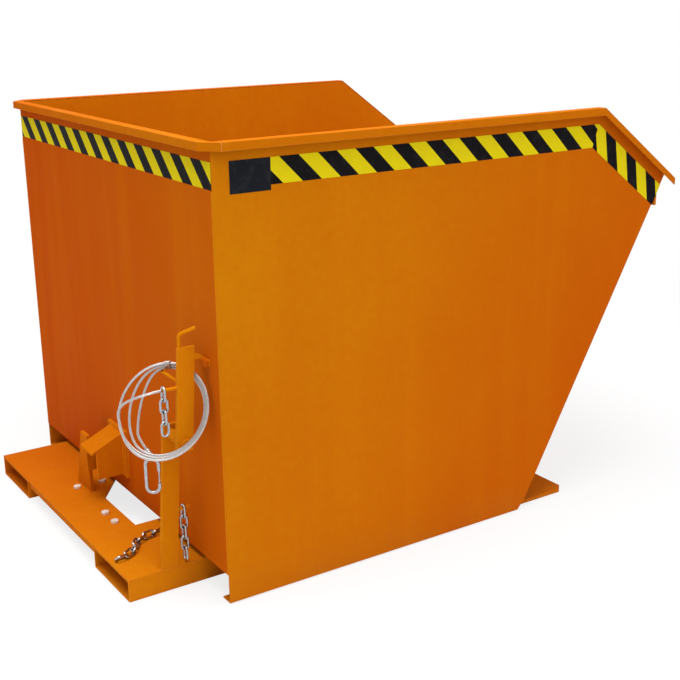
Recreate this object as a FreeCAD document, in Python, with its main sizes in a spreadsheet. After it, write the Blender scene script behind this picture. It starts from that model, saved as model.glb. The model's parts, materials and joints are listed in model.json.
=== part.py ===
import FreeCAD, Part
import math
import os
import re
import Sketcher

Vector = FreeCAD.Vector

# Driving dimensions in millimetres. X is measured from the outer face of the back wall, forward positive.
SIZES = {
    "wall_width": 1222, "sheet_gauge": 4, "ground_gap": 3, "panel_foot": 904,
    "foot_chamfer_run": 24, "foot_chamfer_rise": 28, "front_top_x": 1408,
    "flange_width": 37, "flange_end": 780, "back_wall_bottom": 75, "floor_top": 80,
    "floor_length": 580, "chute_end_x": 1378, "chute_end_z": 846,
    "lip_bar_depth": 40, "lip_bar_gauge": 8,
    "rim_top": 1092, "rim_gauge": 4, "rim_lip": 20, "rim_overhang": 24, "corner_chamfer": 39,
    "bend_x": 1141, "tip_reach": 1426, "tip_z": 882,
    "tape_gauge": 0.6, "tape_height": 60, "tape_drop": 44,
    "label_start": 42, "label_length": 102, "label_height": 72, "label_gauge": 0.8,
    "rear_reach": 194, "base_half_width": 466, "pocket_width": 216, "pocket_height": 56,
    "pocket_gauge": 4, "pocket_end": 940, "deck_gauge": 4, "deck_front": 120,
    "deck_opening_rear": 58, "deck_opening_near": 200, "deck_opening_far": 113,
    "deck_opening_corner": 4, "deck_opening_turn": 20,
    "rib_gauge": 8, "rib_height": 24, "rib_setback": 6,
    "cross_tube_x": 470, "cross_tube_length": 60, "cross_tube_height": 48,
    "front_plate_end": 1105, "front_plate_half": 585, "front_plate_gauge": 10, "front_chamfer": 20,
    "axle_x": 860, "axle_z": 88, "axle_radius": 15, "running_clearance": 0.05,
    "bearing_gauge": 12, "bearing_length": 84, "bearing_rise": 32, "bearing_inset": 14,
    "lug_gauge": 12, "lug_gap": 4, "lug_half": 27, "lug_top_rear": 800, "lug_top_front": 905,
    "bush_wall": 5, "collar_length": 12, "collar_wall": 9, "collar_gap": 0.5, "axle_stub": 6,
    "pad_x": 20, "pad_length": 80, "pad_width": 100, "pad_offset": 300,
    "post_rear": 108, "post_depth": 45, "post_gauge": 10, "post_shoulder": 400, "post_top": 428,
    "post_tip": 42, "post_lean": 27,
    "pivot_x": 62, "pivot_z": 404, "pivot_radius": 8, "bolt_head_radius": 14, "bolt_head_height": 8,
    "spacer_radius": 13, "spacer_length": 71,
    "lever_gauge": 8, "lever_rear": 87, "lever_front": 44, "lever_bottom": 384, "lever_top": 633,
    "lever_lean": 17, "nose_bottom": 600, "nose_height": 16, "nose_reach": 18,
    "keeper_gap": 0.6, "keeper_drop": 3, "keeper_height": 15, "keeper_width": 40,
    "rod_radius": 4, "rod_inset": 5.5, "rod_rise": 31, "rod_bend": 8,
    "peg_radius": 4, "hanger_z": 563, "hanger_bend": 6,
    "chain_peg_z": 541, "chain_peg_length": 36, "chain_seat": 32, "lever_chain_links": 4,
    "anchor_z": 205, "anchor_length": 30, "anchor_seat": 13, "post_chain_links": 5,
    "link_wire": 6, "link_length": 28, "link_width": 11, "deck_chain_x": 33, "deck_chain_inset": 184,
    "rope_diameter": 6, "turn_step": 6.7,
    "ferrule_length": 20, "ferrule_radius": 5.5, "ferrule_seat": 3.2,
    "hook_wire": 8, "hook_length": 92, "hook_width": 38, "hook_gap_top": 30, "gate_radius": 3,
    "gate_pin_radius": 1.5, "gate_pin_rise": 4.5, "fork_rise": 8.5, "fork_floor": 1, "pin_seat": 0.8,
    "catch_gauge": 10, "catch_rear": 77, "catch_near": 62, "catch_far": 157, "catch_top": 229,
    "catch_slant": 51, "wall_plate_near": 42, "wall_plate_far": 75, "wall_plate_bottom": 122,
    "wall_plate_top": 258, "wall_plate_gauge": 8,
    "tongue_near": 26, "tongue_far": 58, "tongue_reach": 98, "tongue_top": 250, "tongue_drop": 40,
    "tongue_gauge": 8, "gusset_gauge": 8, "gusset_reach": 84, "gusset_bottom": 130,
    "bolt_x": 97, "bolt_front_x": 23, "bolt_y_far": 111, "bolt_y_middle": -92, "bolt_y_near": -156,
    "deck_bolt_radius": 6, "deck_head_radius": 11, "deck_head_height": 7.5,
    "nut_height": 10, "hole_clearance": 0.3,
}

DECK_BOLTS = (("-bolt_x", "bolt_y_far"), ("-bolt_front_x", "bolt_y_far"),
              ("-bolt_x", "bolt_y_middle"), ("-bolt_x", "bolt_y_near"))

# Values worked out from the driving dimensions, as text that the document evaluates.
DERIVED = {
    "centre_x": "(tip_reach - rear_reach) / 2",
    "half_width": "wall_width / 2",
    "panel_top": "rim_top - rim_gauge",
    "tape_top": "rim_top - tape_drop",
    "rim_slope": "(rim_top - tip_z) / (tip_reach - bend_x)",
    "front_top_z": "panel_top - (front_top_x - bend_x) * rim_slope",
    "front_foot_x": "panel_foot + foot_chamfer_run",
    "front_foot_z": "ground_gap + foot_chamfer_rise",
    "front_lean": "(front_top_x - front_foot_x) / (front_top_z - front_foot_z)",
    "rim_stretch": "sqrt(1 + rim_slope^2)",
    "rim_half": "half_width + rim_overhang",
    "rim_start": "corner_chamfer - rim_overhang",
    "deck_top": "pocket_height + deck_gauge",
    "floor_under": "floor_top - sheet_gauge",
    "chute_slope": "(chute_end_z - floor_top) / (chute_end_x - floor_length)",
    "chute_drop": "sheet_gauge * sqrt(1 + chute_slope^2)",
    "pocket_inner": "base_half_width - pocket_width",
    "bearing_outer": "base_half_width - bearing_inset",
    "lug_inner": "bearing_outer + lug_gap",
    "lug_outer": "lug_inner + lug_gauge",
    "axle_half": "lug_outer + collar_gap + collar_length + axle_stub",
    "post_near": "base_half_width",
    "post_slope": "post_lean / (post_top - deck_top)",
    "anchor_root": "post_depth - post_rear + post_slope * (anchor_z + peg_radius - deck_top)",
    "lever_inner": "post_near + spacer_length",
    "lever_outer": "lever_inner + lever_gauge",
    "lever_mid": "lever_inner + lever_gauge / 2",
    "lever_slope": "lever_lean / (lever_top - lever_bottom)",
    "chain_peg_root": "lever_rear - lever_slope * (chain_peg_z - peg_radius - lever_bottom)",
    "nose_tip": "lever_front - lever_slope * (nose_bottom - lever_bottom) - nose_reach",
    "keeper_reach": "nose_tip - keeper_gap",
    "keeper_top": "nose_bottom - keeper_drop",
}

doc = FreeCAD.newDocument("tipping_skip")
sheet = doc.addObject("Spreadsheet::Sheet", "Sizes")
for row, (alias, value) in enumerate(SIZES.items(), start=1):
    sheet.set("A%d" % row, alias)
    sheet.set("B%d" % row, str(value))
    sheet.setAlias("B%d" % row, alias)
doc.recompute()

WORD = re.compile(r"[a-z][a-z_0-9]*")


def formula(text):
    # Turns a text of size names into an expression on the sheet's cells.
    def expand(match):
        word = match.group(0)
        if word in DERIVED:
            return "(" + formula(DERIVED[word]) + ")"
        if word in SIZES:
            return "Sizes." + word
        return word
    return WORD.sub(expand, str(text))


def size(alias):
    return float(sheet.get(alias))


def bind(item, name, text):
    item.setExpression(name, formula(text))


def place(item, x, y, z):
    # The document's origin is the middle of the footprint, on the ground.
    bind(item, "Placement.Base.x", "(%s) - centre_x" % x)
    bind(item, "Placement.Base.y", y)
    bind(item, "Placement.Base.z", z)


def box(label, length, width, height, x, y, z):
    item = doc.addObject("Part::Box", label)
    bind(item, "Length", length)
    bind(item, "Width", width)
    bind(item, "Height", height)
    place(item, x, y, z)
    return item


AXES = {"X": Vector(1, 0, 0), "Y": Vector(0, 1, 0), "Z": Vector(0, 0, 1)}


def cylinder(label, radius, length, x, y, z, along="Y"):
    item = doc.addObject("Part::Cylinder", label)
    bind(item, "Radius", radius)
    bind(item, "Height", length)
    item.Placement.Rotation = FreeCAD.Rotation(AXES["Z"], AXES[along])
    place(item, x, y, z)
    return item


def prism(label, radius, height, x, y, z, along="Z"):
    # A hexagon prism, for bolt heads and nuts.
    item = doc.addObject("Part::Prism", label)
    item.Polygon = 6
    bind(item, "Circumradius", radius)
    bind(item, "Height", height)
    item.Placement.Rotation = FreeCAD.Rotation(AXES["Z"], AXES[along])
    place(item, x, y, z)
    return item


def join(label, items):
    item = doc.addObject("Part::MultiFuse", label)
    item.Shapes = items
    item.Refine = True
    return item


def cut(label, base, tool):
    item = doc.addObject("Part::Cut", label)
    item.Base = base
    item.Tool = tool
    return item


def group(label, items):
    item = doc.addObject("Part::Compound", label)
    item.Links = items
    return item


PLANES = {"XY": "XY_Plane", "XZ": "XZ_Plane", "YZ": "YZ_Plane"}


def outline_sketch(body, plane, outline, holes):
    sketch = body.newObject("Sketcher::SketchObject", body.Name + "_outline")
    for feature in body.Origin.OriginFeatures:
        if feature.Role == PLANES[plane]:
            sketch.AttachmentSupport = [(feature, "")]
    sketch.MapMode = "FlatFace"
    count = len(outline)
    # A regular polygon first, so that the corners start apart; the constraints then place them.
    rough = [Vector(100 * math.cos(2 * math.pi * i / count), 100 * math.sin(2 * math.pi * i / count), 0)
             for i in range(count)]
    for i in range(count):
        sketch.addGeometry(Part.LineSegment(rough[i], rough[(i + 1) % count]), False)
    for i in range(count):
        sketch.addConstraint(Sketcher.Constraint("Coincident", i, 2, (i + 1) % count, 1))
    numbered = [(i, 1, point) for i, point in enumerate(outline)]
    for centre_x, centre_y, radius in holes:
        circle = sketch.addGeometry(Part.Circle(Vector(0, 0, 0), AXES["Z"], 5), False)
        index = sketch.addConstraint(Sketcher.Constraint("Radius", circle, 5))
        bind(sketch, "Constraints[%d]" % index, radius)
        numbered.append((circle, 3, (centre_x, centre_y)))
    for geometry, end, (across, up) in numbered:
        for kind, text in (("DistanceX", across), ("DistanceY", up)):
            index = sketch.addConstraint(Sketcher.Constraint(kind, -1, 1, geometry, end, 1.0))
            bind(sketch, "Constraints[%d]" % index, text)
    return sketch


def plate(label, plane, layers, x="0", y="0", z="0"):
    # A flat or folded plate. A layer is an outline, its thickness, whether it runs along plus, and its holes.
    body = doc.addObject("PartDesign::Body", label)
    for outline, gauge, forward, holes in layers:
        sketch = outline_sketch(body, plane, outline, holes)
        pad = body.newObject("PartDesign::Pad", body.Name + "_pad")
        pad.Profile = sketch
        bind(pad, "Length", gauge)
        pad.Reversed = forward if plane == "XZ" else not forward
        sketch.Visibility = False
    place(body, x, y, z)
    return body


def rectangle(x0, y0, x1, y1):
    return [(x0, y0), (x1, y0), (x1, y1), (x0, y1)]


parts = []


def keep(item):
    item.Label = item.Name
    parts.append(item)
    return item


# Trough sheets. "left" is plus Y and "right" is minus Y, seen from behind.
def trough_sheets():
    panel = [("0", "ground_gap"), ("panel_foot", "ground_gap"),
             ("panel_foot + foot_chamfer_run", "ground_gap + foot_chamfer_rise"),
             ("front_top_x", "front_top_z"), ("bend_x", "panel_top"), ("0", "panel_top")]
    flange = rectangle("0", "ground_gap", "flange_end", "ground_gap + sheet_gauge")
    for side, outer, inward in (("left", "half_width", False), ("right", "-half_width", True)):
        keep(plate("side_panel_" + side, "XZ",
                   [(panel, "sheet_gauge", inward, []), (flange, "flange_width", inward, [])], y=outer))
    inner = "(half_width - sheet_gauge)"
    keep(plate("back_wall", "YZ",
               [(rectangle("-" + inner, "back_wall_bottom", inner, "panel_top"), "sheet_gauge", True, [])]))
    keep(box("floor_sheet", "floor_length - sheet_gauge", "2 * " + inner, "sheet_gauge",
             "sheet_gauge", "-" + inner, "floor_under"))
    chute = [("floor_length", "floor_top - chute_drop"), ("chute_end_x", "chute_end_z - chute_drop"),
             ("chute_end_x", "chute_end_z"), ("floor_length", "floor_top")]
    keep(plate("chute_sheet", "XZ", [(chute, "2 * " + inner, True, [])], y="-" + inner))
    keep(box("pouring_lip_bar", "lip_bar_gauge", "2 * " + inner, "lip_bar_depth",
             "chute_end_x", "-" + inner, "chute_end_z - lip_bar_depth"))


# Rim: a flat top over the walls with a lip turned down outside.
def rim():
    def strip(depth):
        return [("rim_start", "rim_top - " + depth), ("bend_x", "rim_top - " + depth),
                ("tip_reach", "tip_z - " + depth), ("tip_reach", "tip_z"),
                ("bend_x", "rim_top"), ("rim_start", "rim_top")]
    width = "rim_overhang + sheet_gauge"
    for side, outer, inward in (("left", "rim_half", False), ("right", "-rim_half", True)):
        keep(plate("rim_" + side, "XZ",
                   [(strip("rim_gauge"), width, inward, []), (strip("rim_lip"), "rim_gauge", inward, [])],
                   y=outer))
    rear = "-rim_overhang"
    corner = "(rim_half - corner_chamfer)"
    inner = "(half_width - sheet_gauge)"
    top = [(rear, "-" + corner), ("rim_start", "-rim_half"), ("rim_start", "-" + inner),
           ("sheet_gauge", "-" + inner), ("sheet_gauge", inner), ("rim_start", inner),
           ("rim_start", "rim_half"), (rear, corner)]
    bend = "(rim_gauge * (sqrt(2) - 1))"
    lip = [(rear, "-" + corner), ("rim_start", "-rim_half"), ("rim_start", "-rim_half + rim_gauge * sqrt(2)"),
           (rear + " + rim_gauge", "-%s + %s" % (corner, bend)),
           (rear + " + rim_gauge", "%s - %s" % (corner, bend)),
           ("rim_start", "rim_half - rim_gauge * sqrt(2)"), ("rim_start", "rim_half"), (rear, corner)]
    keep(plate("rim_rear", "XY", [(top, "rim_gauge", False, []), (lip, "rim_lip", False, [])], z="rim_top"))


# Hazard tape and the bare label plate, on the outside of the walls.
def tape():
    low = "tape_top - tape_height"
    slope_low = "(tape_top - tape_height * rim_stretch)"

    def on_front_edge(level):
        # Where a line parallel to the sloped rim, at this level below the bend, meets the panel's front edge.
        back = "(front_foot_x - front_lean * front_foot_z - bend_x)"
        z = "((%s - rim_slope * %s) / (1 + front_lean * rim_slope))" % (level, back)
        return ("front_foot_x + front_lean * (%s - front_foot_z)" % z, z)

    band = [("label_start + label_length", low),
            ("bend_x - tape_height * (rim_stretch - 1) / rim_slope", low),
            on_front_edge(slope_low), on_front_edge("tape_top"),
            ("bend_x", "tape_top"), ("label_start + label_length", "tape_top")]
    label = rectangle("label_start", "tape_top - label_height", "label_start + label_length", "tape_top")
    for side, outer, outward in (("left", "half_width", True), ("right", "-half_width", False)):
        keep(plate("hazard_tape_" + side, "XZ", [(band, "tape_gauge", outward, [])], y=outer))
    keep(plate("label_plate", "XZ", [(label, "label_gauge", False, [])], y="-half_width"))
    inner = "(half_width - sheet_gauge)"
    keep(box("hazard_tape_rear", "tape_gauge", "2 * " + inner, "tape_height",
             "-tape_gauge", "-" + inner, low))


# Lugs under the chute that turn on the axle, with bushes.
def lugs():
    under = "floor_top - chute_drop + (%s - floor_length) * chute_slope"
    outline = [("axle_x - lug_half", "axle_z - lug_half / 2"), ("axle_x - lug_half / 2", "axle_z - lug_half"),
               ("axle_x + lug_half / 2", "axle_z - lug_half"), ("axle_x + lug_half", "axle_z - lug_half / 2"),
               ("lug_top_front", under % "lug_top_front"), ("lug_top_rear", under % "lug_top_rear")]
    hole = ("axle_x", "axle_z", "axle_radius + running_clearance + bush_wall + running_clearance")
    bore = "axle_radius + running_clearance"
    bushes = []
    for side, start in (("left", "lug_inner"), ("right", "-lug_outer")):
        keep(plate("axle_lug_" + side, "XZ", [(outline, "lug_gauge", True, [hole])], y=start))
        outer = cylinder("bush_outer_" + side, bore + " + bush_wall", "lug_gauge", "axle_x", start, "axle_z")
        inner = cylinder("bush_inner_" + side, bore, "lug_gauge", "axle_x", start, "axle_z")
        bushes.append(cut("bush_" + side, outer, inner))
    keep(group("lug_bushes", bushes))


# Latch keeper and catch pieces, welded to the back wall.
def wall_catches():
    keep(box("latch_keeper", "keeper_reach", "keeper_width", "keeper_height",
             "-keeper_reach", "-lever_mid - keeper_width / 2", "keeper_top - keeper_height"))
    keep(box("catch_wall_plate", "wall_plate_gauge", "wall_plate_far + wall_plate_near",
             "wall_plate_top - wall_plate_bottom",
             "-wall_plate_gauge", "-wall_plate_near", "wall_plate_bottom"))
    fall = "(tongue_drop / (tongue_reach - wall_plate_gauge))"
    tongue = [("-wall_plate_gauge", "tongue_top - tongue_gauge"), ("-wall_plate_gauge", "tongue_top"),
              ("-tongue_reach", "tongue_top - tongue_drop"),
              ("-tongue_reach", "tongue_top - tongue_drop - tongue_gauge")]
    gusset = [("-wall_plate_gauge", "gusset_bottom"), ("-wall_plate_gauge", "tongue_top - tongue_gauge / 2"),
              ("-gusset_reach",
               "tongue_top - tongue_gauge / 2 - %s * (gusset_reach - wall_plate_gauge)" % fall),
              ("-gusset_reach", "gusset_bottom")]
    near = plate("tongue_and_near_gusset", "XZ",
                 [(tongue, "tongue_near + tongue_far", True, []), (gusset, "gusset_gauge", True, [])],
                 y="-tongue_near")
    far = plate("far_gusset", "XZ", [(gusset, "gusset_gauge", True, [])], y="tongue_far - gusset_gauge")
    keep(join("catch_tongue", [near, far]))


# Base frame that stands on the ground.
def base_frame():
    for side, start in (("left", "pocket_inner"), ("right", "-base_half_width")):
        length = "pocket_end + rear_reach"
        outer = box("pocket_outer_" + side, length, "pocket_width", "pocket_height",
                    "-rear_reach", start, "0")
        inner = box("pocket_inside_" + side, length, "pocket_width - 2 * pocket_gauge",
                    "pocket_height - 2 * pocket_gauge",
                    "-rear_reach", start + " + pocket_gauge", "pocket_gauge")
        keep(cut("fork_pocket_" + side, outer, inner))
    deck = [("-rear_reach", "-base_half_width"), ("deck_front", "-base_half_width"),
            ("deck_front", "-deck_opening_near"), ("-deck_opening_rear", "-deck_opening_near"),
            ("-deck_opening_rear", "deck_opening_corner"), ("deck_opening_turn", "deck_opening_far"),
            ("deck_front", "deck_opening_far"),
            ("deck_front", "base_half_width"), ("-rear_reach", "base_half_width")]
    holes = [(x, y, "deck_bolt_radius + hole_clearance") for x, y in DECK_BOLTS]
    keep(plate("rear_deck_plate", "XY", [(deck, "deck_gauge", True, holes)], z="pocket_height"))
    keep(box("deck_rib", "rib_gauge", "2 * pocket_inner", "rib_height", "-rear_reach + rib_setback",
             "-pocket_inner", "pocket_height - rib_height"))
    keep(box("middle_cross_tube", "cross_tube_length", "2 * pocket_inner", "cross_tube_height",
             "cross_tube_x", "-pocket_inner", "0"))
    front = [("pocket_end", "-front_plate_half"), ("front_plate_end - front_chamfer", "-front_plate_half"),
             ("front_plate_end", "-front_plate_half + front_chamfer"),
             ("front_plate_end", "front_plate_half - front_chamfer"),
             ("front_plate_end - front_chamfer", "front_plate_half"), ("pocket_end", "front_plate_half")]
    keep(plate("front_cross_plate", "XY", [(front, "front_plate_gauge", True, [])]))
    pads = [box("pad_" + side, "pad_length", "pad_width", "floor_under - deck_top",
                "pad_x", start, "deck_top")
            for side, start in (("left", "pad_offset"), ("right", "-pad_offset - pad_width"))]
    keep(group("rest_pads", pads))
    bolts = []
    nuts = []
    for number, (x, y) in enumerate(DECK_BOLTS, start=1):
        head = prism("bolt_head_%d" % number, "deck_head_radius", "deck_head_height",
                     x, y, "deck_top")
        grip = "deck_gauge + nut_height"
        shank = cylinder("bolt_shank_%d" % number, "deck_bolt_radius", grip,
                         x, y, "pocket_height - nut_height", "Z")
        bolts.append(join("deck_bolt_%d" % number, [head, shank]))
        blank = prism("nut_blank_%d" % number, "deck_head_radius", "nut_height",
                      x, y, "pocket_height - nut_height")
        bore = cylinder("nut_bore_%d" % number, "deck_bolt_radius + running_clearance", "nut_height",
                        x, y, "pocket_height - nut_height", "Z")
        nuts.append(cut("deck_nut_%d" % number, blank, bore))
    keep(group("deck_bolts", bolts))
    keep(group("deck_nuts", nuts))
    upright = [("catch_near", "deck_top"), ("catch_far", "deck_top"),
               ("catch_far - catch_slant", "catch_top"), ("catch_near", "catch_top")]
    keep(plate("catch_upright", "YZ", [(upright, "catch_gauge", True, [])], x="-catch_rear"))


# Tipping axle on two bearing plates, kept by collars.
def tipping_axle():
    half = "bearing_length / 2"
    outline = rectangle("axle_x - " + half, "pocket_height", "axle_x + " + half, "axle_z + bearing_rise")
    hole = ("axle_x", "axle_z", "axle_radius + running_clearance")
    for side, start in (("left", "bearing_outer - bearing_gauge"), ("right", "-bearing_outer")):
        keep(plate("axle_bearing_" + side, "XZ", [(outline, "bearing_gauge", True, [hole])], y=start))
    keep(cylinder("tipping_axle", "axle_radius", "2 * axle_half", "axle_x", "-axle_half", "axle_z"))
    collars = []
    seat = "lug_outer + collar_gap"
    for side, start in (("left", seat), ("right", "-(%s) - collar_length" % seat)):
        outer = cylinder("collar_outer_" + side, "axle_radius + collar_wall", "collar_length",
                         "axle_x", start, "axle_z")
        inner = cylinder("collar_inner_" + side, "axle_radius + running_clearance", "collar_length",
                         "axle_x", start, "axle_z")
        collars.append(cut("collar_" + side, outer, inner))
    keep(group("axle_collars", collars))


# Latch post with the lever's pivot.
def latch_post():
    bore = "pivot_radius + running_clearance"
    front = "-post_rear + post_depth"
    outline = [("-post_rear", "deck_top"), (front, "deck_top"), (front + " + post_lean", "post_top"),
               (front + " + post_lean - post_tip", "post_top"),
               ("-post_rear + post_slope * (post_shoulder - deck_top)", "post_shoulder")]
    keep(plate("latch_post", "XZ", [(outline, "post_gauge", True, [("-pivot_x", "pivot_z", bore)])],
               y="-post_near"))
    outer = cylinder("spacer_outer", "spacer_radius", "spacer_length", "-pivot_x", "-lever_inner", "pivot_z")
    inner = cylinder("spacer_inner", bore, "spacer_length", "-pivot_x", "-lever_inner", "pivot_z")
    keep(cut("pivot_spacer", outer, inner))
    head_start = "-lever_outer - running_clearance - bolt_head_height"
    grip = "bolt_head_height + lever_gauge + spacer_length + post_gauge"
    shank = cylinder("pivot_shank", "pivot_radius", grip, "-pivot_x", head_start, "pivot_z")
    head = prism("pivot_head", "bolt_head_radius", "bolt_head_height",
                 "-pivot_x", head_start, "pivot_z", "Y")
    nut = prism("pivot_nut", "bolt_head_radius", "bolt_head_height", "-pivot_x", "-post_near + post_gauge",
                "pivot_z", "Y")
    tail = cylinder("pivot_tail", "pivot_radius", "bolt_head_height + running_clearance", "-pivot_x",
                    "-post_near + post_gauge - running_clearance", "pivot_z")
    keep(join("lever_pivot_bolt", [shank, head, nut, tail]))
    keep(cylinder("chain_anchor_peg", "peg_radius", "anchor_length", "anchor_root",
                  "-post_near + post_gauge / 2", "anchor_z", "X"))


# Latch lever and the pegs on it.
def latch_lever():
    def on_edge(edge, level):
        return ("-%s + lever_slope * (%s - lever_bottom)" % (edge, level), level)

    outline = [("-lever_rear", "lever_bottom"), ("-lever_front", "lever_bottom"),
               on_edge("lever_front", "nose_bottom"), ("-nose_tip", "nose_bottom"),
               ("-nose_tip", "nose_bottom + nose_height / 2"),
               on_edge("lever_front", "(nose_bottom + nose_height)"),
               on_edge("lever_front", "lever_top"), on_edge("lever_rear", "lever_top")]
    hole = ("-pivot_x", "pivot_z", "pivot_radius + running_clearance")
    keep(plate("latch_lever", "XZ", [(outline, "lever_gauge", True, [hole])], y="-lever_outer"))
    keep(cylinder("chain_peg", "peg_radius", "chain_peg_length",
                  "-chain_peg_root - chain_peg_length", "-lever_mid", "chain_peg_z", "X"))


def shift(x, y, z):
    # A point given from the back wall, in the document's own frame.
    return Vector(x - (size("tip_reach") - size("rear_reach")) / 2, y, z)


def arc_from(start, corner, end):
    # The arc that is tangent to both lines through the corner.
    middle = (start + end) * 0.5
    half_chord = (end - start).Length / 2
    reach = (corner - start).Length
    toward = corner - middle
    if toward.Length < 1e-6:
        return Part.LineSegment(start, end).toShape()
    half_angle = math.acos(min(1.0, half_chord / reach)) / 2
    top = middle + toward.normalize() * (half_chord * math.tan(half_angle))
    return Part.Arc(start, top, end).toShape()


def biarc(start, start_dir, end, end_dir):
    # Two tangent arcs from one point and direction to another.
    chord = end - start
    both = start_dir + end_dir
    spread = 2 * (1 - start_dir.dot(end_dir))
    lean = chord.dot(both)
    if spread < 1e-9:
        reach = chord.dot(chord) / (2 * lean)
    else:
        reach = (-lean + math.sqrt(lean * lean + spread * chord.dot(chord))) / spread
    first = start + start_dir * reach
    second = end - end_dir * reach
    middle = (first + second) * 0.5
    return [arc_from(start, first, middle), arc_from(middle, second, end)]


def tube(edges, start, direction, radius):
    # A round tube along joined edges.
    path = Part.Wire(edges)
    ring = Part.Wire([Part.Circle(start, direction, radius).toShape()])
    return path.makePipeShell([ring], True, False)


def feature(label, shape):
    item = doc.addObject("Part::Feature", label)
    item.Shape = shape
    item.Placement = FreeCAD.Placement()
    return keep(item)


# Wire rope: a coil of loose loops on the hanger, each wider than the one before, fanned out at the left.
# Its places are measured from the lever: the pivot in X, the inner face in Y and the hanger in Z.
COIL_CENTRE = Vector(-42, 17, -78)
COIL_ACROSS = Vector(86, -58, 8)
COIL_UP = Vector(23, 27, 104)
COIL_START_DEG = 200
COIL_TURNS = 3
COIL_SPREAD = (0.42, 0.22, 0.0, 0.10)
COIL_GROWTH = 0.045
FULL_TURN = 2.5
FAN_FROM_DEG = 80
FAN_TO_DEG = 250
FAN_POWER = 1.5
STEPS_PER_TURN = 8
GAP_POINTS_PER_TURN = 180
HOOK_TOP = Vector(-71, 27, -187)
ROPE_END_WAY = Vector(0.40, -0.45, -0.80).normalize()
HANGER_ROUTE = (Vector(-4, 0, -14), Vector(-4, 7, -14), Vector(-18, 29, 0), Vector(-18, 75, 0))


def from_lever(offset):
    lever_inner = size("base_half_width") + size("spacer_length")
    return shift(-size("pivot_x"), -lever_inner, size("hanger_z")) + offset


def bent_rod(points, bend, radius):
    # A round rod along straight runs, with an arc of the same reach at each corner.
    edges = []
    here = points[0]
    for before, corner, after in zip(points, points[1:], points[2:]):
        start = corner + (before - corner).normalize() * bend
        end = corner + (after - corner).normalize() * bend
        edges += [Part.LineSegment(here, start).toShape(), arc_from(start, corner, end)]
        here = end
    edges.append(Part.LineSegment(here, points[-1]).toShape())
    return tube(edges, points[0], points[1] - points[0], radius)


def rope_hanger():
    route = [from_lever(offset) for offset in HANGER_ROUTE]
    feature("rope_hanger_peg", bent_rod(route, size("hanger_bend"), size("peg_radius")))


def coil_spread(turn):
    low = min(int(turn), COIL_TURNS - 1)
    return COIL_SPREAD[low] + (COIL_SPREAD[low + 1] - COIL_SPREAD[low]) * (turn - low)


def coil_point(turn):
    degrees = (COIL_START_DEG - 360 * turn) % 360
    angle = math.radians(degrees)
    fan = 0.0
    if FAN_FROM_DEG < degrees < FAN_TO_DEG:
        fan = math.sin(math.pi * (degrees - FAN_FROM_DEG) / (FAN_TO_DEG - FAN_FROM_DEG)) ** FAN_POWER
    behind = COIL_UP.cross(COIL_ACROSS).normalize()
    loop = COIL_ACROSS * (math.cos(angle) + coil_spread(turn) * fan) + COIL_UP * math.sin(angle)
    growth = 1 + COIL_GROWTH * (turn - FULL_TURN)
    return from_lever(COIL_CENTRE) + loop * growth + behind * (size("turn_step") * (COIL_TURNS - turn))


def coil_direction(turn):
    step = 1e-4
    return (coil_point(turn + step) - coil_point(turn - step)).normalize()


def least_gap(turns, per_turn):
    # The nearest approach of the coil to itself, less one diameter, on points of its line.
    points = [coil_point(i / per_turn) for i in range(turns * per_turn + 1)]
    near = min((points[i] - points[j]).Length
               for i in range(len(points)) for j in range(i + per_turn // 3, len(points)))
    return near - size("rope_diameter")


def lever_slope():
    return size("lever_lean") / (size("lever_top") - size("lever_bottom"))


def lever_middle():
    return -(size("base_half_width") + size("spacer_length") + size("lever_gauge") / 2)


def chain_peg_root():
    level = size("chain_peg_z") - size("peg_radius") - size("lever_bottom")
    return lever_slope() * level - size("lever_rear")


def chain_peg_end():
    return shift(chain_peg_root() - size("chain_peg_length"), lever_middle(), size("chain_peg_z"))


def wire_rope():
    radius = size("rope_diameter") / 2
    straight = size("rope_diameter")
    start = coil_point(0)
    start_dir = coil_direction(0)
    end = coil_point(COIL_TURNS)
    end_dir = coil_direction(COIL_TURNS)
    first = start - start_dir * straight
    last = end + end_dir * straight
    edges = [Part.LineSegment(first, start).toShape()]
    count = COIL_TURNS * STEPS_PER_TURN
    for i in range(count):
        here = i / STEPS_PER_TURN
        there = (i + 1) / STEPS_PER_TURN
        edges += biarc(coil_point(here), coil_direction(here), coil_point(there), coil_direction(there))
    edges.append(Part.LineSegment(end, last).toShape())
    feature("wire_rope_coil", tube(edges, first, start_dir, radius))
    gap = least_gap(COIL_TURNS, GAP_POINTS_PER_TURN)
    print("coil length", round(Part.Wire(edges).Length, 1), "least gap", round(gap, 2))
    lead = biarc(last, end_dir, chain_peg_end(), AXES["X"])
    feature("rope_lead", tube(lead, last, end_dir, radius))
    seat = from_lever(HOOK_TOP) + AXES["Z"] * size("ferrule_seat")
    socket = seat - ROPE_END_WAY * size("ferrule_length")
    tail = biarc(first, start_dir * -1, socket, ROPE_END_WAY)
    feature("rope_tail", tube(tail, first, start_dir, radius))
    print("lead length", round(Part.Wire(lead).Length, 1), "tail length", round(Part.Wire(tail).Length, 1))
    ferrule = Part.makeCylinder(size("ferrule_radius"), size("ferrule_length"), socket, ROPE_END_WAY)
    feature("rope_ferrule", ferrule)


# Snap hook that hangs on the rope's end: an open ring of round wire with a gate on one side.
HOOK_ACROSS = Vector(0.83, -0.56, 0).normalize()


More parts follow.
